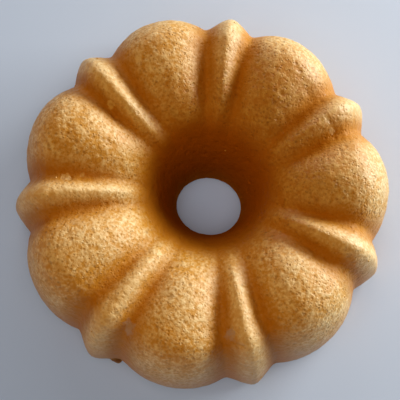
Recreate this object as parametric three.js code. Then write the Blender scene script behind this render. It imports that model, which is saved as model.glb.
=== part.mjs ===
// A fluted ring cake, baked in a tube pan and turned out to stand on its flat side. Seven broad
// rounded lobes go round it, with a narrow sharp ridge in the groove between each two, and all
// of them run over the top and fade out in the funnel that leads down to the hole.
// Millimetres, +Z up, with the origin at the centre of the flat underside.

import * as THREE from "three";

// Driving dimensions
const LOBES = 7; // broad lobes round the ring, with as many ridges between them
const BASE_RADIUS = 120; // from the axis to the front of a lobe, at the underside
const HEIGHT = 80; // from the underside to the top of a lobe
const HOLE_RADIUS = 21.2; // the hole, at the underside
const HOLE_FLARE = 4; // how much wider the hole's wall is at the full height
const HOLE_DRIFT = 4.6; // how far the tube stood off centre towards +X, at the underside
const HOLE_SQUASH = 0.1; // how much narrower the hole is from front to back, at the underside
const CREST_RADIUS = 81; // from the axis to the top of a lobe
const WALL_LEAN = 9.5; // how far the outer wall leans in over the full height
const FUNNEL_POWER = 2.15; // roundness of the funnel: 2 is an ellipse, higher is squarer
const SHOULDER_POWER = 2.9; // roundness of the outer shoulder, in the same way
const GROOVE_DEPTH = 10.8; // a groove on top of the cake, below the middle of a lobe
const FOOT_GROOVE_DEPTH = 7.8; // the same groove at the foot of the outer wall
const LOBE_POWER = 2.1; // fullness of a lobe's cross-section: higher is flatter on top
const RIDGE_RISE = 9.2; // the edge of a ridge, above the grooves beside it
const RIDGE_ROUNDNESS = 1.35; // a ridge on top of the cake: 1 is sharp, 2 is round
const RIDGE_HALF_ANGLE = 0.14; // radians from a ridge's edge to its groove, seen from above
const RIDGE_TAPER = 1.2; // the ridge's angle at its inner end, as a share of the full angle
const FLUTE_START_RADIUS = 29; // lobes and ridges rise out of the funnel from here
const FLUTE_FULL_RADIUS = 68; // and have their full depth from here outwards
const SWELL = 0.7; // how far the crust wanders from the pan's exact shape

// Fineness of the solid
const FUNNEL_STEPS = 15; // rows from the foot of the hole to the crest
const SHOULDER_STEPS = 17; // rows from the crest to the foot of the outer wall
const RIDGE_STEPS = 4; // columns across a ridge
const LOBE_STEPS = 12; // columns across a lobe

const SECTOR = (2 * Math.PI) / LOBES;
const FIRST_RIDGE = -Math.PI / 2 + SECTOR / 2; // the middle of a lobe faces -Y
const { clamp, lerp, smoothstep } = THREE.MathUtils;

// A point on a quarter of a superellipse, from its top (turn 0) to its side (turn PI / 2).
function roundedQuarter(turn, power) {
  return {
    out: Math.sin(turn) ** (2 / power),
    up: Math.max(Math.cos(turn), 0) ** (2 / power),
  };
}

// The hole's wall and the funnel: radius and height in the middle of a lobe.
function funnelPoint(turn) {
  const { out, up } = roundedQuarter(turn, FUNNEL_POWER);
  const wall = HOLE_RADIUS + HOLE_FLARE * up;
  return new THREE.Vector2(lerp(CREST_RADIUS, wall, out), HEIGHT * up);
}

// The outer shoulder and wall, in the same way.
function shoulderPoint(turn) {
  const { out, up } = roundedQuarter(turn, SHOULDER_POWER);
  const wall = BASE_RADIUS - WALL_LEAN * up;
  return new THREE.Vector2(lerp(CREST_RADIUS, wall, out), HEIGHT * up);
}

// The whole section above the underside, from the foot of the hole over the crest to the foot
// of the outer wall.
function sectionPoints() {
  const points = [];
  for (let row = 0; row < FUNNEL_STEPS; row++) {
    points.push(funnelPoint((1 - row / FUNNEL_STEPS) * (Math.PI / 2)));
  }
  for (let row = 0; row <= SHOULDER_STEPS; row++) {
    points.push(shoulderPoint((row / SHOULDER_STEPS) * (Math.PI / 2)));
  }
  return points;
}

// The direction out of the crust at one point of the section.
function outwardAt(points, row) {
  const before = points[Math.max(row - 1, 0)];
  const after = points[Math.min(row + 1, points.length - 1)];
  const along = new THREE.Vector2().subVectors(after, before).normalize();
  return new THREE.Vector2(-along.y, along.x);
}

// How far the lobes and ridges have risen, from 0 in the hole to 1 on the outside.
function fluteShare(radius) {
  return smoothstep(radius, FLUTE_START_RADIUS, FLUTE_FULL_RADIUS);
}

// The angle from a ridge's edge to its groove, which narrows towards the hole.
function ridgeHalfAngle(share) {
  return RIDGE_HALF_ANGLE * lerp(RIDGE_TAPER, 1, share);
}

// How far the crust lies outside the section of a lobe's middle, at an angle from the nearest
// ridge's edge. The level is 0 at the foot and 1 at the full height.
function fluteOffset(angle, share, level) {
  const half = ridgeHalfAngle(share);
  const away = Math.abs(angle);
  const towardsGroove = clamp((SECTOR / 2 - away) / (SECTOR / 2 - half), 0, 1);
  const depth = lerp(FOOT_GROOVE_DEPTH, GROOVE_DEPTH, level * level);
  const sink = depth * towardsGroove ** LOBE_POWER;
  const flank = clamp(away / half, 0, 1) ** lerp(1, RIDGE_ROUNDNESS, level);
  return (RIDGE_RISE * (1 - flank) - sink) * share;
}

// The slow, irregular swelling of a batter that rose a little more on one side.
function swelling(angle) {
  const wave = (count, phase) => Math.sin(count * angle + phase);
  return SWELL * (0.25 * wave(2, 0.9) + 0.4 * wave(3, 2.3) + 0.35 * wave(5, 0.4));
}

// Angles round the ring, crowded so that a column runs along every edge and groove.
function columnAngles(share) {
  const half = ridgeHalfAngle(share);
  const angles = [];
  for (let sector = 0; sector < LOBES; sector++) {
    for (let step = 0; step < RIDGE_STEPS; step++) {
      angles.push({ sector, angle: half * ((2 * step) / RIDGE_STEPS - 1) });
    }
    for (let step = 0; step < LOBE_STEPS; step++) {
      angles.push({ sector, angle: lerp(half, SECTOR - half, step / LOBE_STEPS) });
    }
  }
  return angles;
}

// One ring of points round the cake, at one row of the section.
function crustRing(points, row) {
  const centre = points[row];
  const outward = outwardAt(points, row);
  const share = fluteShare(centre.x);
  const isFoot = row === 0 || row === points.length - 1;
  const inner = clamp((CREST_RADIUS - centre.x) / (CREST_RADIUS - HOLE_RADIUS), 0, 1);
  return columnAngles(share).map(({ sector, angle }) => {
    const fromRidge = angle > SECTOR / 2 ? angle - SECTOR : angle;
    const turn = FIRST_RIDGE + sector * SECTOR + angle;
    const offset = fluteOffset(fromRidge, share, centre.y / HEIGHT) + swelling(turn) * share;
    const radius = centre.x + outward.x * offset;
    const height = isFoot ? 0 : centre.y + outward.y * offset;
    return new THREE.Vector3(
      radius * Math.cos(turn) + HOLE_DRIFT * inner,
      radius * Math.sin(turn) * (1 - HOLE_SQUASH * inner),
      height,
    );
  });
}

// The closed crust: rings joined by bands, the last band being the flat underside.
function cakeGeometry() {
  const points = sectionPoints();
  const rings = points.map((_, row) => crustRing(points, row));
  const across = rings[0].length;
  const indices = [];
  for (let row = 0; row < rings.length; row++) {
    const next = (row + 1) % rings.length;
    for (let column = 0; column < across; column++) {
      const beside = (column + 1) % across;
      const a = row * across + column;
      const b = row * across + beside;
      const c = next * across + beside;
      const d = next * across + column;
      indices.push(a, c, b, a, d, c);
    }
  }
  const geometry = new THREE.BufferGeometry();
  geometry.setFromPoints(rings.flat());
  geometry.setIndex(indices);
  geometry.computeVertexNormals();
  return geometry;
}

const crust = new THREE.MeshStandardMaterial({ color: 0xd9963c, roughness: 0.75, metalness: 0 });

const cake = new THREE.Mesh(cakeGeometry(), crust);
cake.name = "ring_cake";

const group = new THREE.Group();
group.add(cake);

export default group;
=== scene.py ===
"""A whole fluted ring cake on a plain pale floor.

Seven broad lobes and seven narrow ridges run up the outside of the cake, over its top and into
the funnel of its hole. The crust is golden, finely pored and a little uneven.
"""

import math
from functools import reduce
from operator import add

import bpy
from bpy.props import FloatProperty, FloatVectorProperty, IntProperty, PointerProperty
from mathutils import Matrix, Vector


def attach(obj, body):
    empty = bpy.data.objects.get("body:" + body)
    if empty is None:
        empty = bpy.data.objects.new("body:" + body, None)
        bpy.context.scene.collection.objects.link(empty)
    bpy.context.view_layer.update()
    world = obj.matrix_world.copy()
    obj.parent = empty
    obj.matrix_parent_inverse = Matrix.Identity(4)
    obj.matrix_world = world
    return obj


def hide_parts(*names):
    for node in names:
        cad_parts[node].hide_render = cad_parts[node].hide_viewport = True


bl_info = {
    "name": "Fluted Ring Cake",
    "version": (1, 0, 0),
    "blender": (4, 5, 0),
    "location": "3D View > Sidebar > Ring Cake",
    "description": "Builds a golden fluted ring cake, its clinging crumbs and a plain stage",
    "category": "Object",
}

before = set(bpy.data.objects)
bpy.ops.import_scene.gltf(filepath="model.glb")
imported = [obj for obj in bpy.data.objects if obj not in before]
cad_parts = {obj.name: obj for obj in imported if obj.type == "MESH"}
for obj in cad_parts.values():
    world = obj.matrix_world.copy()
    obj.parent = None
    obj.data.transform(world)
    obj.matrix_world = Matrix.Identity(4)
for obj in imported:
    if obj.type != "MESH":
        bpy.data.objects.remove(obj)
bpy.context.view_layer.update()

CAKE_NODE = "ring_cake"


# Settings


class CakeShape(bpy.types.PropertyGroup):
    """Sizes of the cake, in metres and radians"""

    base_radius: FloatProperty(
        name="Base Radius", description="From the axis to the front of a lobe, at the foot",
        default=0.120, unit="LENGTH")
    height: FloatProperty(
        name="Height", description="From the underside to the top of a lobe",
        default=0.080, unit="LENGTH")
    hole_radius: FloatProperty(
        name="Hole Radius", description="Radius of the hole at the foot",
        default=0.0212, unit="LENGTH")
    hole_flare: FloatProperty(
        name="Hole Flare", description="How much wider the wall of the hole gets over the height",
        default=0.004, unit="LENGTH")
    hole_drift: FloatProperty(
        name="Hole Drift", description="How far the hole stands off centre at the foot",
        default=0.0046, unit="LENGTH")
    hole_squash: FloatProperty(
        name="Hole Squash", description="How much narrower the hole is from front to back",
        default=0.10)
    crest_radius: FloatProperty(
        name="Crest Radius", description="From the axis to the top of a lobe",
        default=0.081, unit="LENGTH")
    wall_lean: FloatProperty(
        name="Wall Lean", description="How far the outer wall leans in over the height",
        default=0.0095, unit="LENGTH")
    foot_rounding: FloatProperty(
        name="Foot Rounding", description="Radius of the two edges of the underside",
        default=0.002, unit="LENGTH")
    funnel_power: FloatProperty(
        name="Funnel Power",
        description="Roundness of the funnel: 2 is an ellipse, more is squarer",
        default=2.15)
    shoulder_power: FloatProperty(
        name="Shoulder Power", description="Roundness of the outer shoulder, in the same way",
        default=2.9)
    lobes: IntProperty(
        name="Lobes", description="Broad lobes round the ring, with as many ridges", default=7)
    groove_depth: FloatProperty(
        name="Groove Depth", description="A groove's depth below the middle of a lobe, on top",
        default=0.0108, unit="LENGTH")
    foot_groove_depth: FloatProperty(
        name="Foot Groove Depth", description="The same at the foot of the outer wall",
        default=0.0078, unit="LENGTH")
    lobe_power: FloatProperty(
        name="Lobe Power", description="Fullness of the section of a lobe: more is flatter on top",
        default=2.1)
    ridge_rise: FloatProperty(
        name="Ridge Rise", description="The edge of a ridge, above the grooves beside it",
        default=0.0092, unit="LENGTH")
    ridge_half_angle: FloatProperty(
        name="Ridge Half Angle", description="From the edge of a ridge to its groove",
        default=0.14, unit="ROTATION")
    ridge_taper: FloatProperty(
        name="Ridge Taper", description="Angle of a ridge at its inner end, as a share",
        default=1.2)
    ridge_roundness: FloatProperty(
        name="Ridge Roundness",
        description="On top of the cake: 1 is a sharp ridge, 2 a round one",
        default=1.35)
    flute_start: FloatProperty(
        name="Flute Start", description="Radius where lobes and ridges rise out of the funnel",
        default=0.029, unit="LENGTH")
    flute_full: FloatProperty(
        name="Flute Full", description="Radius from which they have their full depth",
        default=0.068, unit="LENGTH")
    swell: FloatProperty(
        name="Swell", description="How far the crust wanders from the exact shape of the pan",
        default=0.0007, unit="LENGTH")


class CakeRelief(bpy.types.PropertyGroup):
    """Unevenness of the crust"""

    lump_height: FloatProperty(
        name="Lump Height", description="Depth of the slow unevenness of the crust",
        default=0.0008, unit="LENGTH")
    grain_height: FloatProperty(
        name="Grain Height", description="Depth of the fine unevenness of the crust",
        default=0.0005, unit="LENGTH")
    pit_depth: FloatProperty(
        name="Pit Depth", description="Depth of the open pores of the crust",
        default=0.0006, unit="LENGTH")
    torn_depth: FloatProperty(
        name="Torn Depth", description="Roughness where a scrap of crust came off",
        default=0.0012, unit="LENGTH")
    softening: IntProperty(
        name="Softening", description="How often sharp edges are smoothed", default=3)
    seed: IntProperty(name="Seed", description="Picks the pattern of pores and lumps", default=7)


class CakeColours(bpy.types.PropertyGroup):
    """Colours of the crust"""

    gold: FloatVectorProperty(
        name="Gold", description="The crust in most places", subtype="COLOR",
        size=4, min=0, max=1, default=(0.66, 0.335, 0.026, 1))
    # Cream: pale flecks, partly the crust's own and partly painted sheen; also the painted
    # highlight on the ridges and the pale torn places
    cream: FloatVectorProperty(
        name="Cream", description="Pale flecks of the crust", subtype="COLOR",
        size=4, min=0, max=1, default=(0.93, 0.73, 0.36, 1))
    # Brown: pores, partly painted shade in them, browned places and the underside
    brown: FloatVectorProperty(
        name="Brown", description="Pores and places where the crust browned", subtype="COLOR",
        size=4, min=0, max=1, default=(0.38, 0.19, 0.016, 1))
    smear: FloatVectorProperty(
        name="Smear", description="The pale smears in two of the grooves", subtype="COLOR",
        size=4, min=0, max=1, default=(0.50, 0.40, 0.36, 1))
    # Amber: painted shade in the grooves
    amber: FloatVectorProperty(
        name="Amber", description="The smooth crust in the grooves", subtype="COLOR",
        size=4, min=0, max=1, default=(0.48, 0.19, 0.008, 1))
    # Shade tint: painted shade, multiplied over the funnel on its side away from the window
    shade_tint: FloatVectorProperty(
        name="Shade Tint", description="How the browner side differs from the rest", subtype="COLOR",
        size=4, min=0, max=1, default=(0.78, 0.64, 0.24, 1))
    # Biscuit: painted bounce light, the cool light from the floor low on the outer wall; also the
    # colour of the torn crumb
    biscuit: FloatVectorProperty(
        name="Biscuit", description="The drier crust low on the outer wall", subtype="COLOR",
        size=4, min=0, max=1, default=(0.54, 0.215, 0.078, 1))
    # Tan: painted shade inside the hole
    tan: FloatVectorProperty(
        name="Tan", description="The dark crust inside the hole", subtype="COLOR",
        size=4, min=0, max=1, default=(0.37, 0.12, 0.004, 1))


class CakeCrumbs(bpy.types.PropertyGroup):
    """Crumbs that cling to the crust"""

    density: FloatProperty(
        name="Density", description="Most crumbs on a square metre", default=26000)
    spacing: FloatProperty(
        name="Spacing", description="Least distance between two crumbs",
        default=0.0022, unit="LENGTH")
    smallest: FloatProperty(
        name="Smallest", description="Radius of the smallest crumb",
        default=0.00025, unit="LENGTH")
    largest: FloatProperty(
        name="Largest", description="Radius of the largest crumb",
        default=0.0008, unit="LENGTH")
    crumb_seed: IntProperty(
        name="Crumb Seed", description="Picks the places of the crumbs", default=4)


class CakeStage(bpy.types.PropertyGroup):
    """Where the camera stands and its lens"""

    distance: FloatProperty(
        name="Camera Distance", description="From the aim point to the camera",
        default=0.4245, unit="LENGTH")
    elevation: FloatProperty(
        name="Camera Elevation", description="Height of the camera above the horizon",
        default=math.radians(80.3), unit="ROTATION")
    azimuth: FloatProperty(
        name="Camera Azimuth", description="Turn of the camera round the cake",
        default=math.radians(9.7), unit="ROTATION")
    lens: FloatProperty(
        name="Lens", description="Focal length in millimetres for a 36 mm picture",
        default=62.6)


# Short formulas as nodes


def plug(tree, value, socket):
    """Feeds a field, a socket or a plain value into an input."""
    if isinstance(value, Field):
        tree.links.new(value.socket, socket)
    elif isinstance(value, bpy.types.NodeSocket):
        tree.links.new(value, socket)
    else:
        socket.default_value = value


def add_node(tree, kind, inputs=None, **settings):
    """Adds a node, sets its options, then feeds its inputs, named or numbered."""
    node = tree.nodes.new(kind)
    for name, value in settings.items():
        setattr(node, name, value)
    for name, value in (inputs or {}).items():
        plug(tree, value, node.inputs[name])
    return node


class Field:
    """A number that a node tree works out at every point. Sums and methods add Math nodes."""

    def __init__(self, tree, socket):
        self.tree = tree
        self.socket = socket

    def math(self, operation, *others):
        node = add_node(self.tree, "ShaderNodeMath", operation=operation)
        for value, socket in zip((self, *others), node.inputs):
            plug(self.tree, value, socket)
        return Field(self.tree, node.outputs[0])

    def __add__(self, other):
        return self.math("ADD", other)

    def __sub__(self, other):
        return self.math("SUBTRACT", other)

    def __mul__(self, other):
        return self.math("MULTIPLY", other)

    def __truediv__(self, other):
        return self.math("DIVIDE", other)

    def __pow__(self, other):
        return self.math("POWER", other)

    def above(self, other):
        return self.math("GREATER_THAN", other)

    def minimum(self, other):
        return self.math("MINIMUM", other)

    def maximum(self, other):
        return self.math("MAXIMUM", other)

    def sine(self):
        return self.math("SINE")

    def cosine(self):
        return self.math("COSINE")

    def magnitude(self):
        return self.math("ABSOLUTE")

    def whole(self):
        return self.math("FLOOR")

    def between(self, low, high, start=0.0, end=1.0, smooth=False):
        """The field's place between two limits, carried over to a new pair, and held there."""
        inputs = {"Value": self, "From Min": low, "From Max": high, "To Min": start, "To Max": end}
        kind = "SMOOTHSTEP" if smooth else "LINEAR"
        node = add_node(self.tree, "ShaderNodeMapRange", inputs, interpolation_type=kind)
        return Field(self.tree, node.outputs["Result"])

    def blend(self, low, high):
        """low where the field is 0, high where it is 1."""
        return self.between(0.0, 1.0, low, high)

    def spare(self, amount=1.0):
        """1 where the field is 0, and less by the amount where it is 1."""
        return self * -amount + 1.0


def vector(tree, x, y, z):
    """Three numbers as one vector."""
    node = add_node(tree, "ShaderNodeCombineXYZ", {"X": x, "Y": y, "Z": z})
    return node.outputs[0]


def parts(tree, socket):
    """The three numbers of a vector."""
    node = add_node(tree, "ShaderNodeSeparateXYZ", {0: socket})
    return [Field(tree, output) for output in node.outputs]


def setting_names(settings):
    """The settings of a group, without Blender's own."""
    return [key for key in settings.bl_rna.properties.keys() if key not in ("rna_type", "name")]


def add_tree_inputs(tree, *groups):
    """Gives a tree one named input for each setting, and returns them as fields by key."""
    source = tree.nodes.new("NodeGroupInput")
    fields = {}
    for settings in groups:
        for key in setting_names(settings):
            rule = settings.bl_rna.properties[key]
            kind = "NodeSocketInt" if rule.type == "INT" else "NodeSocketFloat"
            socket = tree.interface.new_socket(rule.name, in_out="INPUT", socket_type=kind)
            socket.description = rule.description
            socket.default_value = getattr(settings, key)
            fields[key] = Field(tree, source.outputs[rule.name])
    return fields


def grown_mesh(name, tree, *groups):
    """Runs a geometry tree with the given settings and returns its result as a plain object."""
    piece = bpy.data.objects.new(name, bpy.data.meshes.new(name))
    bpy.context.scene.collection.objects.link(piece)
    modifier = piece.modifiers.new(tree.name, "NODES")
    modifier.node_group = tree
    sockets = {item.name: item.identifier for item in tree.interface.items_tree}
    for settings in groups:
        for key in setting_names(settings):
            label = settings.bl_rna.properties[key].name
            modifier[sockets[label]] = getattr(settings, key)
    evaluated = piece.evaluated_get(bpy.context.evaluated_depsgraph_get())
    mesh = bpy.data.meshes.new_from_object(evaluated)
    piece.modifiers.clear()
    piece.data = mesh
    mesh.name = name
    return piece


# The body of the cake

SECTION_POINTS = 401  # along the curve of the section, from foot to foot
SECTION_ROWS = 250  # of faces, round the whole section
SECTOR_COLUMNS = 56  # of faces, across one ridge and one lobe
DOME_ROW_SHARE = 0.86  # of the rows, above the underside
RIDGE_COLUMN_SHARE = 8 / 56  # of a sector's columns, on each side of a ridge's edge
FIRST_RIDGE_FROM_FRONT = 0.5  # sectors from -Y, so that a lobe faces the front
FOOT_ONLY = 0.9999  # only the two ends of the section lie further along it than this
FOOT_FILLET_POINTS = 6
LEVEL_TO_SQUARE = (0.005, 0.030)  # heights: flutes stand out level, then square to the crust
WELD_DISTANCE = 0.00002
SWELL_WAVES = ((2.0, 0.9, 0.25), (3.0, 2.3, 0.4), (5.0, 0.4, 0.35))  # count, phase, share

# Where the marks of ridge and groove begin and end, as shares of a ridge's half angle, and
# where the groove's fades out on the lobe, in radians past the groove
RIDGE_FADE = (0.1, 0.7)
GROOVE_RISE = (0.25, 0.85)
GROOVE_FADE = (0.01, 0.16)

# Noises of the skin: scale, detail, and what is added to the seed
LUMPS = (25.0, 1.0, 0.0)
SKIN_GRAIN = (220.0, 2.0, 3.0)
TORN_GRAIN = (420.0, 1.0, 5.0)
# Its larger pores
SKIN_PORES = {"spacing": 0.0055, "reach": 0.36, "kept": 0.5, "shift": 0.3}
SMALLEST_PIT = 0.6  # of the reach
PIT_LUCK_STEP = 0.05
# The noise that makes the outline of a torn place ragged: scale, detail and seed
TORN_OUTLINE = (350.0, 1.0, 2.0)
TORN_OUTLINE_SHARE = 0.5
TORN_EDGE = (0.35, 0.6)
TORN_SINK = 0.3  # how much more of a torn place lies below the crust than above it
SMOOTH_FOOT = 0.004  # height below which the skin loses its unevenness
NOISE_ROUGHNESS = 0.5

# Places where the pan held a scrap of crust back: x, y, z and radius
TORN_PLACES = (
    (-0.077, -0.0085, 0.071, 0.0065),
    (-0.068, -0.0055, 0.071, 0.0050),
    (-0.060, 0.038, 0.071, 0.0060),
    (-0.049, 0.066, 0.076, 0.0045),
    (0.068, 0.044, 0.072, 0.0050),
    (0.062, 0.049, 0.077, 0.0055),
)
# Small pale smears in the grooves, in the same way
SMUDGES = (
    (-0.026, -0.085, 0.069, 0.0085),
    (0.029, -0.080, 0.072, 0.0070),
)


def new_tree(name):
    """An empty geometry tree for a modifier."""
    tree = bpy.data.node_groups.new(name, "GeometryNodeTree")
    tree.is_modifier = True
    tree.interface.new_socket("Mesh", in_out="OUTPUT", socket_type="NodeSocketGeometry")
    return tree


def finish_tree(tree, geometry, material):
    """Ends a geometry tree with real geometry in one material."""
    realized = add_node(tree, "GeometryNodeRealizeInstances", {"Geometry": geometry})
    dressed = add_node(
        tree, "GeometryNodeSetMaterial",
        {"Geometry": realized.outputs[0], "Material": material})
    output = tree.nodes.new("NodeGroupOutput")
    tree.links.new(dressed.outputs[0], output.inputs[0])
    return tree


def own_position(tree):
    """The place of each point."""
    return add_node(tree, "GeometryNodeInputPosition").outputs[0]


def placed_at(tree, geometry, position):
    """The same geometry with its points moved to new places."""
    node = add_node(
        tree, "GeometryNodeSetPosition", {"Geometry": geometry, "Position": position})
    return node.outputs[0]


def pushed_out(tree, geometry, amount):
    """The same geometry with its points pushed out along its own normal."""
    normal = add_node(tree, "GeometryNodeInputNormal").outputs[0]
    offset = add_node(
        tree, "ShaderNodeVectorMath", {0: normal, "Scale": amount}, operation="SCALE")
    node = add_node(
        tree, "GeometryNodeSetPosition", {"Geometry": geometry, "Offset": offset.outputs[0]})
    return node.outputs[0]


def stored(tree, geometry, name, field):
    """The same geometry with a field kept as a named attribute of its points."""
    node = add_node(
        tree, "GeometryNodeStoreNamedAttribute",
        {"Geometry": geometry, "Name": name, "Value": field}, domain="POINT")
    return node.outputs[0]


def section_curve(tree, size):
    """The section as a closed curve, and the share of its length above the underside.

    X is the radius and Z the height.
    """
    line = add_node(tree, "GeometryNodeMeshLine", {"Count": SECTION_POINTS})
    index = Field(tree, add_node(tree, "GeometryNodeInputIndex").outputs[0])
    step = index / ((SECTION_POINTS - 1) / 2) - 1.0
    outside = step.above(0.0)
    turn = step.magnitude() * (math.pi / 2)
    exponent = outside.blend(size["funnel_power"], size["shoulder_power"]) ** -1.0 * 2.0
    out = turn.sine() ** exponent
    up = turn.cosine().maximum(0.0) ** exponent
    foot = outside.blend(size["hole_radius"], size["base_radius"])
    slope = outside.blend(size["hole_flare"], size["wall_lean"] * -1.0)
    wall = foot + slope * up
    radius = size["crest_radius"] + (wall - size["crest_radius"]) * out
    bent = placed_at(tree, line.outputs[0], vector(tree, radius, 0.0, size["height"] * up))
    curve = add_node(tree, "GeometryNodeMeshToCurve", {"Mesh": bent}).outputs[0]
    dome = add_node(tree, "GeometryNodeCurveLength", {"Curve": curve})
    closed = add_node(
        tree, "GeometryNodeSetSplineCyclic", {"Geometry": curve, "Cyclic": True}).outputs[0]
    whole = add_node(tree, "GeometryNodeCurveLength", {"Curve": closed})
    dome_share = Field(tree, dome.outputs[0]) / Field(tree, whole.outputs[0])
    at_foot = step.magnitude().above(FOOT_ONLY)
    rounded = add_node(
        tree, "GeometryNodeFilletCurve",
        {"Curve": closed, "Count": FOOT_FILLET_POINTS,
         "Radius": at_foot * size["foot_rounding"]},
        mode="POLY")
    return rounded.outputs[0], dome_share


def section_place(tree, size, along):
    """Radius and height of the section, and its direction, at a share of its rows."""
    curve, dome_share = section_curve(tree, size)
    factor = along.between(0.0, DOME_ROW_SHARE) * dome_share
    factor = factor + along.between(DOME_ROW_SHARE, 1.0) * dome_share.spare()
    sample = add_node(
        tree, "GeometryNodeSampleCurve", {"Curves": curve, "Factor": factor}, mode="FACTOR")
    radius, _, height = parts(tree, sample.outputs["Position"])
    along_radius, _, along_height = parts(tree, sample.outputs["Tangent"])
    return radius, height, along_radius, along_height


def column_place(size, across, half, sector):
    """The angle from the nearest ridge's edge, and the angle round the ring from +X."""
    count = across * size["lobes"]
    place = count - count.whole()
    late = place.above(0.5)
    near = place.minimum(place.spare())
    away = near.between(0.0, RIDGE_COLUMN_SHARE) * half
    away = away + near.between(RIDGE_COLUMN_SHARE, 0.5) * (sector * 0.5 - half)
    side = late.blend(1.0, -1.0)
    ridge = (count.whole() + late + FIRST_RIDGE_FROM_FRONT) * sector - math.pi / 2
    return away, ridge + side * away


def flute_offset(size, away, half, sector, share, level):
    """How far the crust stands outside the middle of a lobe, at an angle from a ridge's edge."""
    to_groove = (sector * 0.5 - away) / (sector * 0.5 - half)
    to_groove = to_groove.maximum(0.0).minimum(1.0)
    depth = (level * level).blend(size["foot_groove_depth"], size["groove_depth"])
    sink = depth * to_groove ** size["lobe_power"]
    flank = (away / half).minimum(1.0) ** level.blend(1.0, size["ridge_roundness"])
    ridge = size["ridge_rise"] * flank.spare()
    return (ridge - sink) * share


def swelling(size, angle):
    """The slow, irregular swelling of a batter that rose a little more on one side."""
    waves = [(angle * count + phase).sine() * share for count, phase, share in SWELL_WAVES]
    return reduce(add, waves) * size["swell"]


def ring_surface(tree, size):
    """The closed skin of the cake, with its lobes and ridges, before any unevenness."""
    columns = size["lobes"] * SECTOR_COLUMNS + 1.0
    grid = add_node(
        tree, "GeometryNodeMeshGrid",
        {"Size X": 1.0, "Size Y": 1.0, "Vertices X": columns, "Vertices Y": SECTION_ROWS + 1})
    across, along, _ = parts(tree, own_position(tree))
    radius, height, along_radius, along_height = section_place(tree, size, along + 0.5)

    share = radius.between(size["flute_start"], size["flute_full"], smooth=True)
    half = size["ridge_half_angle"] * share.blend(size["ridge_taper"], 1.0)
    sector = size["lobes"] ** -1.0 * (2 * math.pi)
    away, angle = column_place(size, across + 0.5, half, sector)

    offset = flute_offset(size, away, half, sector, share, height / size["height"])
    offset = offset + swelling(size, angle) * share
    square = height.between(*LEVEL_TO_SQUARE, smooth=True)
    radius_now = radius + offset * ((along_height * -1.0) * square + square.spare())
    height_now = height + offset * (along_radius * square)
    inner = radius.between(size["hole_radius"], size["crest_radius"], 1.0, 0.0)
    place = vector(
        tree,
        radius_now * angle.cosine() + inner * size["hole_drift"],
        radius_now * angle.sine() * (inner * size["hole_squash"]).spare(),
        height_now)

    # The marks come before the move: they are worked out from places on the flat grid.
    to_groove = away / half
    groove = to_groove.between(*GROOVE_RISE, smooth=True) * share
    groove = groove * (away - half).between(*GROOVE_FADE, 1.0, 0.0, smooth=True)
    ridge = to_groove.between(*RIDGE_FADE, 1.0, 0.0, smooth=True) * share
    marked = stored(tree, grid.outputs[0], "groove", groove)
    marked = stored(tree, marked, "ridge", ridge)
    welded = add_node(
        tree, "GeometryNodeMergeByDistance",
        {"Geometry": placed_at(tree, marked, place), "Distance": WELD_DISTANCE})
    return add_node(tree, "GeometryNodeFlipFaces", {"Mesh": welded.outputs[0]}).outputs[0]


def softened(tree, geometry, rounds):
    """The same skin with its sharp edges smoothed, as batter never fills a corner."""
    blurred = add_node(
        tree, "GeometryNodeBlurAttribute", {"Value": own_position(tree), "Iterations": rounds},
        data_type="FLOAT_VECTOR")
    return placed_at(tree, geometry, blurred.outputs["Value"])


def noise(tree, place, scale, detail, seed):
    """Smooth noise about zero, of roughly one unit either way."""
    node = add_node(
        tree, "ShaderNodeTexNoise",
        {"Vector": place, "W": seed, "Scale": scale, "Detail": detail,
         "Roughness": NOISE_ROUGHNESS},
        noise_dimensions="4D")
    return (Field(tree, node.outputs[0]) - 0.5) * 2.0


def pits(tree, place, spacing, reach, kept, shift):
    """Round pits, 1 at their middle.

    Each cell of the spacing holds one, whose radius is the reach or less, as a share of the
    spacing. Only the share that is kept is there, and the shift picks the pattern.
    """
    moved = add_node(
        tree, "ShaderNodeVectorMath", {0: place, 1: (shift, shift * 2.0, shift * 3.0)},
        operation="ADD")
    node = add_node(
        tree, "ShaderNodeTexVoronoi",
        {"Vector": moved.outputs[0], "Scale": 1.0 / spacing, "Randomness": 1.0})
    luck, width, _ = parts(tree, node.outputs["Color"])
    there = luck.between(kept, kept + PIT_LUCK_STEP, 1.0, 0.0)
    far = Field(tree, node.outputs["Distance"]) / width.blend(reach * SMALLEST_PIT, reach)
    return (far * far).spare().maximum(0.0) * there


def spots(tree, position, places):
    """1 in the middle of any of the places, each given as (x, y, z, radius), and 0 outside."""
    found = []
    for *middle, radius in places:
        away = add_node(
            tree, "ShaderNodeVectorMath", {0: position, 1: middle}, operation="DISTANCE")
        away = Field(tree, away.outputs["Value"])
        found.append(away.between(0.0, radius, 1.0, 0.0, smooth=True))
    return reduce(Field.maximum, found)


def relief(tree, geometry, uneven):
    """Lumps, grain, pores and torn places, pushed in or out along the crust's own normal."""
    position = own_position(tree)
    lumps, grain, rough = (
        noise(tree, position, scale, detail, uneven["seed"] + step)
        for scale, detail, step in (LUMPS, SKIN_GRAIN, TORN_GRAIN))
    pores = pits(tree, position, **SKIN_PORES)
    outline = noise(tree, position, *TORN_OUTLINE) * TORN_OUTLINE_SHARE
    torn = (spots(tree, position, TORN_PLACES) + outline).between(*TORN_EDGE)
    height = lumps * uneven["lump_height"] + grain * uneven["grain_height"]
    height = height - pores * uneven["pit_depth"]
    height = height + torn * (rough - TORN_SINK) * uneven["torn_depth"]
    _, _, level = parts(tree, position)
    skin = pushed_out(tree, geometry, height * level.between(0.0, SMOOTH_FOOT))
    marked = stored(tree, skin, "torn", torn)
    return stored(tree, marked, "smudge", spots(tree, position, SMUDGES))


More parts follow.
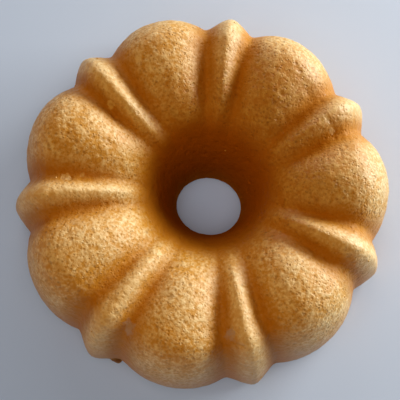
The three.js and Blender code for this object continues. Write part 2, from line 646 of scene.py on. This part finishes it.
def cake_tree(shape, uneven, crust):
    """The geometry tree of the whole cake."""
    tree = new_tree("Fluted ring")
    fields = add_tree_inputs(tree, shape, uneven)
    skin = ring_surface(tree, fields)
    skin = softened(tree, skin, fields["softening"])
    skin = relief(tree, skin, fields)
    smooth = add_node(tree, "GeometryNodeSetShadeSmooth", {"Geometry": skin})
    return finish_tree(tree, smooth.outputs[0], crust)


# The crumbs

CRUMB_PATCHES = (30.0, 1.0, 5.0)  # scale, detail and seed of the noise
CRUMB_DENTS = (900.0, 1.0, 1.0)
CRUMB_DENT_DEPTH = 0.0003
CRUMBS_ON_RIDGES = 0.25  # of the most crumbs, which lie on torn places
CRUMBS_IN_PATCHES = 0.08
BARE_BELOW, CRUMBS_ABOVE = 0.03, 0.05  # heights
CRUMB_PROPORTIONS = (0.8, 0.6)  # width and height of a crumb, for a length of 1
ANY_TURN = (6.28, 6.28, 6.28)
# The lump of crumb under the foot of one ridge
TORN_CRUMB_PLACE = (-0.0400, -0.1045, 0.0028)
TORN_CRUMB_SIZE = (0.0078, 0.0040, 0.0028)
TORN_CRUMB_TURN = -0.5
TORN_CRUMB_DENTS = (300.0, 3.0, 1.0)
TORN_CRUMB_DENT_DEPTH = 0.0016
TORN_CRUMB_LOWEST = 0.0002


def attribute(tree, name):
    """A named attribute of the geometry as a field."""
    node = add_node(
        tree, "GeometryNodeInputNamedAttribute", {"Name": name}, data_type="FLOAT")
    return Field(tree, node.outputs[0])


def crumbs_tree(crumbs, cake, crumb):
    """The geometry tree of the crumbs that cling to the cake, mostly on ridges and torn places."""
    tree = new_tree("Clinging crumbs")
    size = add_tree_inputs(tree, crumbs)
    crust = add_node(
        tree, "GeometryNodeObjectInfo", {"Object": cake}, transform_space="RELATIVE")
    position = own_position(tree)
    _, _, level = parts(tree, position)
    patch = noise(tree, position, *CRUMB_PATCHES).between(0.0, 0.5)
    liked = attribute(tree, "ridge") * CRUMBS_ON_RIDGES + attribute(tree, "torn")
    liked = liked + patch * CRUMBS_IN_PATCHES
    points = add_node(
        tree, "GeometryNodeDistributePointsOnFaces",
        {"Mesh": crust.outputs["Geometry"], "Distance Min": size["spacing"],
         "Density Max": size["density"],
         "Density Factor": liked * level.between(BARE_BELOW, CRUMBS_ABOVE),
         "Seed": size["crumb_seed"]},
        distribute_method="POISSON")
    grain = add_node(
        tree, "GeometryNodeMeshIcoSphere", {"Radius": 1.0, "Subdivisions": 2})
    luck = add_node(tree, "FunctionNodeRandomValue", {8: size["crumb_seed"]}, data_type="FLOAT")
    length = (Field(tree, luck.outputs[1]) ** 2.0).blend(size["smallest"], size["largest"])
    width, height = (length * proportion for proportion in CRUMB_PROPORTIONS)
    spin = add_node(
        tree, "FunctionNodeRandomValue",
        {0: (0.0, 0.0, 0.0), 1: ANY_TURN, 8: size["crumb_seed"]}, data_type="FLOAT_VECTOR")
    placed = add_node(
        tree, "GeometryNodeInstanceOnPoints",
        {"Points": points.outputs["Points"], "Instance": grain.outputs["Mesh"],
         "Rotation": spin.outputs[0], "Scale": vector(tree, length, width, height)})
    # The dents need real crumbs: on instances they would be the same on each.
    realized = add_node(tree, "GeometryNodeRealizeInstances", {"Geometry": placed.outputs[0]})
    dents = noise(tree, position, *CRUMB_DENTS) * CRUMB_DENT_DEPTH
    return finish_tree(tree, pushed_out(tree, realized.outputs[0], dents), crumb)


def torn_crumb_tree(crumb):
    """The geometry tree of the lump of crumb that sticks out under the foot of one ridge."""
    tree = new_tree("Torn crumb")
    ball = add_node(tree, "GeometryNodeMeshIcoSphere", {"Radius": 1.0, "Subdivisions": 6})
    sized = add_node(
        tree, "GeometryNodeTransform",
        {"Geometry": ball.outputs["Mesh"], "Translation": TORN_CRUMB_PLACE,
         "Rotation": (0.0, 0.0, TORN_CRUMB_TURN), "Scale": TORN_CRUMB_SIZE})
    position = own_position(tree)
    dents = noise(tree, position, *TORN_CRUMB_DENTS) * TORN_CRUMB_DENT_DEPTH
    dented = pushed_out(tree, sized.outputs[0], dents)
    x, y, height = parts(tree, position)
    resting = placed_at(tree, dented, vector(tree, x, y, height.maximum(TORN_CRUMB_LOWEST)))
    smooth = add_node(tree, "GeometryNodeSetShadeSmooth", {"Geometry": resting})
    return finish_tree(tree, smooth.outputs[0], crumb)


# Materials

# Noises of baked crumb: scale, detail and seed
PATCHES = (40.0, 1.0, 1.0)
MOTTLE = (210.0, 3.0, 4.0)
GRAIN = (560.0, 2.0, 8.0)
# Its pores
FINE_PORES = {"spacing": 0.0017, "reach": 0.50, "kept": 0.5, "shift": 0.1}
OPEN_PORES = {"spacing": 0.0042, "reach": 0.34, "kept": 0.45, "shift": 0.2}
# What mottle, grain and patches weigh in the pale flecks and in the browned places, and the
# sums between which these come up
PALE_WEIGHTS = (0.9, 1.2, 0.5)
PALE_EDGE = (-0.35, 0.5)
BAKED_WEIGHTS = (0.6, -0.5, 0.5)
BAKED_EDGE = (0.05, 0.9)
MOST_BAKED = 0.7
# Pores are painted darker: partly the crumb's own darker colour, partly painted shade in the pits
FINE_PORE_DARKNESS, OPEN_PORE_DARKNESS = 0.5, 0.6
PORES_WITH_FLECKS = 0.5  # pores are at their full where there are this many flecks
HEIGHT_WEIGHTS = (0.5, 0.4, -0.4, -0.6)  # of grain, mottle, fine pores and open pores

# Noises of the crust
UNEVEN = (90.0, 2.0, 6.0)
BLOTCHES = (330.0, 2.0, 9.0)
# How much further out the painted shade of the funnel reaches for each metre along X and along Y,
# on the side away from the window, and the share of that by which the hole's painted shade does
SHADE_SIDE = (0.29, 0.34)
HOLE_SHARE_OF_SIDE = 0.2
# How far the unevenness shifts the edge of the hole's painted shade and of the low wall's painted
# bounce light, in metres
HOLE_WOBBLE = 0.002
LOW_WALL_WOBBLE = 0.006
# Radii between which the painted shade of the hole and of the funnel ends and the shine begins,
# and heights between which the low wall's painted bounce light and the underside's colour end
HOLE_EDGE = (0.032, 0.046)
FUNNEL_EDGE = (0.034, 0.066)
SHINE_EDGE = (0.036, 0.054)
LOW_WALL_EDGE = (0.015, 0.072)
UNDERSIDE_EDGE = (0.0005, 0.003)
# What the blotches weigh in the torn places and the smears, and the sums between which these
# come up
RAGGED_BLOTCHES = 0.8
RAGGED_EDGE = (0.5, 1.1)
SMEAR_BLOTCHES = 0.9
SMEAR_EDGE = (0.35, 0.85)
# How far each place takes on its colour: the funnel's shade tint, the grooves' amber and the
# hole's tan are painted shade, the ridges' cream is a painted highlight and the low wall's biscuit
# is painted bounce light
SHADE_TINT_SHARE = 0.9
AMBER_SHARE = 0.8
RIDGE_HIGHLIGHT_SHARE = 0.4
BISCUIT_SHARE = 0.6
UNDERSIDE_SHARE = 0.6
TAN_SHARE = 0.85
RAGGED_SHARE = 0.6
SMEAR_SHARE = 0.7
# How far each place of painted shade loses its flecks, a groove its shine and a ridge in the
# funnel's painted shade its painted highlight
HOLE_SMOOTHING = 0.9
GROOVE_SMOOTHING = 0.45
FUNNEL_SMOOTHING = 0.4
GROOVE_DULLING = 0.8
RIDGE_HIGHLIGHT_FADING = 0.9

CRUST_ROUGHNESS = 0.55
CRUST_BUMP = {"Strength": 0.8, "Distance": 0.0006}
CRUMB_ROUGHNESS = 0.8
FLOOR_COLOUR = (0.66, 0.74, 0.86, 1.0)
FLOOR_ROUGHNESS = 0.6


def mixed(tree, factor, low, high, blend_type="MIX"):
    """Blends two colours, by a factor from 0 to 1."""
    node = add_node(
        tree, "ShaderNodeMix", {0: factor, 6: low, 7: high},
        data_type="RGBA", blend_type=blend_type)
    return node.outputs[2]


def weighed(fields, weights):
    """The sum of some fields, each times its own weight."""
    return reduce(add, [field * weight for field, weight in zip(fields, weights)])


def crumb_look():
    """A group with the colour and the fine height of baked crumb, shared by the crust and the
    crumbs.
    """
    tree = bpy.data.node_groups.new("Baked crumb", "ShaderNodeTree")
    sockets = tree.interface
    for name in ("Gold", "Cream", "Brown"):
        sockets.new_socket(name, in_out="INPUT", socket_type="NodeSocketColor")
    sockets.new_socket("Flecks", in_out="INPUT", socket_type="NodeSocketFloat")
    sockets.new_socket("Colour", in_out="OUTPUT", socket_type="NodeSocketColor")
    sockets.new_socket("Height", in_out="OUTPUT", socket_type="NodeSocketFloat")
    source = tree.nodes.new("NodeGroupInput")
    gold, cream, brown = (source.outputs[name] for name in ("Gold", "Cream", "Brown"))
    flecks = Field(tree, source.outputs["Flecks"])
    place = add_node(tree, "ShaderNodeTexCoord").outputs["Object"]

    patches, mottle, grain = (noise(tree, place, *kind) for kind in (PATCHES, MOTTLE, GRAIN))
    fine_pores = pits(tree, place, **FINE_PORES)
    open_pores = pits(tree, place, **OPEN_PORES)

    pale = weighed((mottle, grain, patches), PALE_WEIGHTS).between(*PALE_EDGE)
    colour = mixed(tree, pale * flecks, gold, cream)
    baked = weighed((mottle, grain, patches), BAKED_WEIGHTS)
    colour = mixed(tree, baked.between(*BAKED_EDGE, 0.0, MOST_BAKED), colour, brown)
    # Pores painted brown: partly the crumb's own darker colour, partly painted shade in the pits
    holes = (fine_pores * FINE_PORE_DARKNESS).maximum(open_pores * OPEN_PORE_DARKNESS)
    colour = mixed(tree, holes * flecks.between(0.0, PORES_WITH_FLECKS), colour, brown)

    height = weighed((grain, mottle, fine_pores, open_pores), HEIGHT_WEIGHTS)
    output = tree.nodes.new("NodeGroupOutput")
    tree.links.new(colour, output.inputs["Colour"])
    tree.links.new(height.socket, output.inputs["Height"])
    return tree


def new_material(name, roughness):
    """A material of one shader, which it returns too."""
    material = bpy.data.materials.new(name)
    material.use_nodes = True
    shader = material.node_tree.nodes["Principled BSDF"]
    shader.inputs["Roughness"].default_value = roughness
    return material, shader


def crust_material(colours, look):
    """The golden crust.

    Painted shade darkens and smooths the funnel on its side away from the window, turns the
    grooves amber and darkens the hole; a painted highlight makes the ridges paler and painted
    bounce light makes the crust duller low on the wall. It is darker under the cake, and torn or
    smeared in a few places.
    """
    material, shader = new_material("golden_crust", CRUST_ROUGHNESS)
    tree = material.node_tree
    place = add_node(tree, "ShaderNodeTexCoord").outputs["Object"]
    x, y, height = parts(tree, place)
    radius = (x * x + y * y) ** 0.5
    uneven = noise(tree, place, *UNEVEN)
    blotches = noise(tree, place, *BLOTCHES)
    groove, ridge, torn, smudge = [
        Field(tree, add_node(tree, "ShaderNodeAttribute", attribute_name=name).outputs["Fac"])
        for name in ("groove", "ridge", "torn", "smudge")]

    # Painted shade: the hole and the funnel are darker on the side away from the window, and the
    # hole is darker all round
    shade_side = weighed((x, y), SHADE_SIDE)
    hole_shade = radius - shade_side * HOLE_SHARE_OF_SIDE + uneven * HOLE_WOBBLE
    hole_shade = hole_shade.between(*HOLE_EDGE, 1.0, 0.0, smooth=True)
    funnel_shade = (radius - shade_side).between(*FUNNEL_EDGE, 1.0, 0.0, smooth=True)
    # Painted bounce light: the low outer wall is tinted as the cool light from the floor falls on
    # it
    low_wall = height + uneven * LOW_WALL_WOBBLE
    low_wall = low_wall.between(*LOW_WALL_EDGE, BISCUIT_SHARE, 0.0, smooth=True)
    under = height.between(*UNDERSIDE_EDGE, 1.0, 0.0)
    ragged = torn + blotches * RAGGED_BLOTCHES
    ragged = ragged.between(*RAGGED_EDGE, 0.0, RAGGED_SHARE)
    smeared = smudge + blotches * SMEAR_BLOTCHES
    smeared = smeared.between(*SMEAR_EDGE, 0.0, SMEAR_SHARE)

    # Fewer pale flecks where painted shade falls: in the hole, the grooves and the funnel's shaded
    # side
    flecks = hole_shade.spare(HOLE_SMOOTHING) * groove.spare(GROOVE_SMOOTHING)
    flecks = flecks * funnel_shade.spare(FUNNEL_SMOOTHING)
    crumb = add_node(
        tree, "ShaderNodeGroup",
        {"Gold": colours.gold, "Cream": colours.cream, "Brown": colours.brown,
         "Flecks": flecks}, node_tree=look)
    # Painted shade over the funnel, on its side away from the window
    colour = mixed(
        tree, funnel_shade * SHADE_TINT_SHARE, crumb.outputs["Colour"], colours.shade_tint, "MULTIPLY")
    layers = (
        # Painted shade in the grooves
        (groove * AMBER_SHARE, colours.amber),
        # Painted highlight on the ridges, fading in the funnel's painted shade
        (ridge * funnel_shade.spare(RIDGE_HIGHLIGHT_FADING) * RIDGE_HIGHLIGHT_SHARE, colours.cream),
        # Painted bounce light low on the wall
        (low_wall, colours.biscuit),
        (under * UNDERSIDE_SHARE, colours.brown),
        # Painted shade in the hole
        (hole_shade * TAN_SHARE, colours.tan),
        (ragged, colours.cream),
        (smeared, colours.smear),
    )
    for share, layer in layers:
        colour = mixed(tree, share, colour, layer)

    bump = add_node(tree, "ShaderNodeBump", {"Height": crumb.outputs["Height"], **CRUST_BUMP})
    shine = radius.between(*SHINE_EDGE) * groove.spare(GROOVE_DULLING)
    tree.links.new(colour, shader.inputs["Base Color"])
    tree.links.new(bump.outputs[0], shader.inputs["Normal"])
    tree.links.new(shine.socket, shader.inputs["Specular IOR Level"])
    return material


def crumb_material(name, look, gold, cream, brown):
    """Loose crumb: matt and open."""
    material, shader = new_material(name, CRUMB_ROUGHNESS)
    crumb = add_node(
        material.node_tree, "ShaderNodeGroup",
        {"Gold": gold, "Cream": cream, "Brown": brown, "Flecks": 1.0}, node_tree=look)
    material.node_tree.links.new(crumb.outputs["Colour"], shader.inputs["Base Color"])
    return material


def floor_material():
    """A plain pale floor."""
    material, shader = new_material("pale_floor", FLOOR_ROUGHNESS)
    shader.inputs["Base Color"].default_value = FLOOR_COLOUR
    return material


# Operators


class CAKE_OT_bake_cake(bpy.types.Operator):
    """Build the whole fluted cake"""

    bl_idname = "cake.bake_cake"
    bl_label = "Bake Cake"

    def execute(self, context):
        scene = context.scene
        crust = crust_material(scene.cake_colours, crumb_look())
        tree = cake_tree(scene.cake_shape, scene.cake_relief, crust)
        cake = grown_mesh("fluted_cake", tree, scene.cake_shape, scene.cake_relief)
        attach(cake, "root")
        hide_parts(CAKE_NODE)
        return {"FINISHED"}


class CAKE_OT_add_crumbs(bpy.types.Operator):
    """Scatter the crumbs that cling to the crust, and add the torn one at the foot"""

    bl_idname = "cake.add_crumbs"
    bl_label = "Add Crumbs"

    def execute(self, context):
        scene = context.scene
        look = bpy.data.node_groups["Baked crumb"]
        colours = scene.cake_colours
        crumb = crumb_material("loose_crumb", look, colours.gold, colours.cream, colours.brown)
        dark = crumb_material("dark_crumb", look, colours.biscuit, colours.gold, colours.brown)
        tree = crumbs_tree(scene.cake_crumbs, bpy.data.objects["fluted_cake"], crumb)
        crumbs = grown_mesh("clinging_crumbs", tree, scene.cake_crumbs)
        torn = grown_mesh("torn_crumb", torn_crumb_tree(dark))
        for piece in (crumbs, torn):
            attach(piece, "root")
        return {"FINISHED"}


class CAKE_OT_set_stage(bpy.types.Operator):
    """Lay the floor, set the lights and place the camera"""

    bl_idname = "cake.set_stage"
    bl_label = "Set Stage"

    def execute(self, context):
        lay_floor()
        set_lights()
        set_surround()
        place_camera(context.scene.cake_stage)
        return {"FINISHED"}


# The stage

FLOOR_SIZE = 8.0
# Soft boxes that face the cake: azimuth and elevation in degrees with the distance in metres,
# then both sides in metres, watts and colour
SOFT_LIGHTS = {
    "window_light": ((40, 15.5, 1.2), (1.1, 0.27), 19.5, (1.0, 0.99, 0.97)),
    "sky_light": ((105, 22, 1.3), (0.9, 0.4), 3.2, (0.96, 0.98, 1.0)),
    "room_light": ((250, 9, 1.3), (1.2, 0.3), 1.6, (0.88, 0.92, 1.0)),
    "warm_lamp": ((200, 78, 1.3), (1.0, 1.0), 6.3, (1.0, 0.50, 0.06)),
    "floor_light": ((250, 80, 1.6), (1.4, 1.4), 9.0, (0.94, 0.96, 1.0)),
}
MIRRORED_LIGHTS = ("window_light", "sky_light")
SURROUND_COLOUR = (1.0, 0.8, 0.6, 1.0)
SURROUND_STRENGTH = 0.05
CAMERA_AIM = Vector((-0.0007, -0.0031, 0.040))
PICTURE_WIDTH = 36.0  # in millimetres, behind the lens


def lay_floor():
    """A wide plain floor at the level of the underside."""
    bpy.ops.mesh.primitive_plane_add(size=FLOOR_SIZE)
    floor = bpy.context.object
    floor.name = "pale_floor"
    floor.data.materials.append(floor_material())


def light_place(azimuth, elevation, distance):
    """A place round the cake: azimuth counts from +X towards +Y, in degrees."""
    turn = math.radians(azimuth)
    rise = math.radians(elevation)
    return Vector((
        math.cos(turn) * math.cos(rise), math.sin(turn) * math.cos(rise), math.sin(rise),
    )) * distance


def add_soft_light(name, place, size, power, colour):
    """A soft box that faces the cake: place is azimuth, elevation and distance."""
    data = bpy.data.lights.new(name, "AREA")
    data.shape = "RECTANGLE"
    data.size, data.size_y = size
    data.energy = power
    data.color = colour
    light = bpy.data.objects.new(name, data)
    light.location = light_place(*place)
    light.rotation_euler = light.location.to_track_quat("Z", "Y").to_euler()
    light.visible_glossy = name in MIRRORED_LIGHTS
    bpy.context.scene.collection.objects.link(light)
    return light


def light_only(light, pieces):
    """Lets a light fall on the given pieces and on nothing else."""
    lit = bpy.data.collections.new(f"lit_by_{light.name}")
    for piece in pieces:
        lit.objects.link(piece)
    light.light_linking.receiver_collection = lit


def set_lights():
    """A low window behind the cake on its right, the sky, a dim room and two helpers.

    The warm lamp falls on the cake and the crumbs that cling to it, and the floor light falls
    on the floor alone.
    """
    lights = {name: add_soft_light(name, *values) for name, values in SOFT_LIGHTS.items()}
    floor = bpy.data.objects["pale_floor"]
    unwarmed = (floor, bpy.data.objects["torn_crumb"])
    pieces = [piece for piece in bpy.context.scene.collection.objects if piece.type == "MESH"]
    light_only(lights["warm_lamp"], [piece for piece in pieces if piece not in unwarmed])
    light_only(lights["floor_light"], [floor])


def set_surround():
    """A faint warm surround, and colours shown as they are."""
    world = bpy.data.worlds.new("soft_surround")
    world.use_nodes = True
    background = world.node_tree.nodes["Background"]
    background.inputs["Color"].default_value = SURROUND_COLOUR
    background.inputs["Strength"].default_value = SURROUND_STRENGTH
    bpy.context.scene.world = world
    bpy.context.scene.view_settings.view_transform = "Standard"


def place_camera(stage):
    """A camera that looks almost straight down on the cake."""
    back = Vector((
        math.sin(stage.azimuth) * math.cos(stage.elevation),
        -math.cos(stage.azimuth) * math.cos(stage.elevation),
        math.sin(stage.elevation),
    ))
    right = (-back).cross(Vector((0, 0, 1))).normalized()
    up = right.cross(-back)
    data = bpy.data.cameras.new("camera")
    data.sensor_width = PICTURE_WIDTH
    data.lens = stage.lens
    camera = bpy.data.objects.new("camera", data)
    turn = Matrix((right, up, back)).transposed().to_4x4()
    camera.matrix_world = Matrix.Translation(CAMERA_AIM + back * stage.distance) @ turn
    bpy.context.scene.collection.objects.link(camera)
    bpy.context.scene.camera = camera


class CAKE_PT_sidebar(bpy.types.Panel):
    """Buttons and settings of the ring cake"""

    bl_idname = "CAKE_PT_sidebar"
    bl_label = "Ring Cake"
    bl_space_type = "VIEW_3D"
    bl_region_type = "UI"
    bl_category = "Ring Cake"

    def draw(self, context):
        for operator in OPERATORS:
            self.layout.operator(operator.bl_idname)
        for name in SETTINGS:
            settings = getattr(context.scene, name)
            box = self.layout.box()
            for key in setting_names(settings):
                box.prop(settings, key)


SETTINGS = {
    "cake_shape": CakeShape,
    "cake_relief": CakeRelief,
    "cake_colours": CakeColours,
    "cake_crumbs": CakeCrumbs,
    "cake_stage": CakeStage,
}
OPERATORS = (CAKE_OT_bake_cake, CAKE_OT_add_crumbs, CAKE_OT_set_stage)


def register():
    for name, settings in SETTINGS.items():
        bpy.utils.register_class(settings)
        setattr(bpy.types.Scene, name, PointerProperty(type=settings))
    for operator in OPERATORS:
        bpy.utils.register_class(operator)
    bpy.utils.register_class(CAKE_PT_sidebar)


def unregister():
    bpy.utils.unregister_class(CAKE_PT_sidebar)
    for operator in reversed(OPERATORS):
        bpy.utils.unregister_class(operator)
    for name, settings in SETTINGS.items():
        delattr(bpy.types.Scene, name)
        bpy.utils.unregister_class(settings)


def main():
    register()
    bpy.ops.cake.bake_cake()
    bpy.ops.cake.add_crumbs()
    bpy.ops.cake.set_stage()


if __name__ == "__main__":
    main()
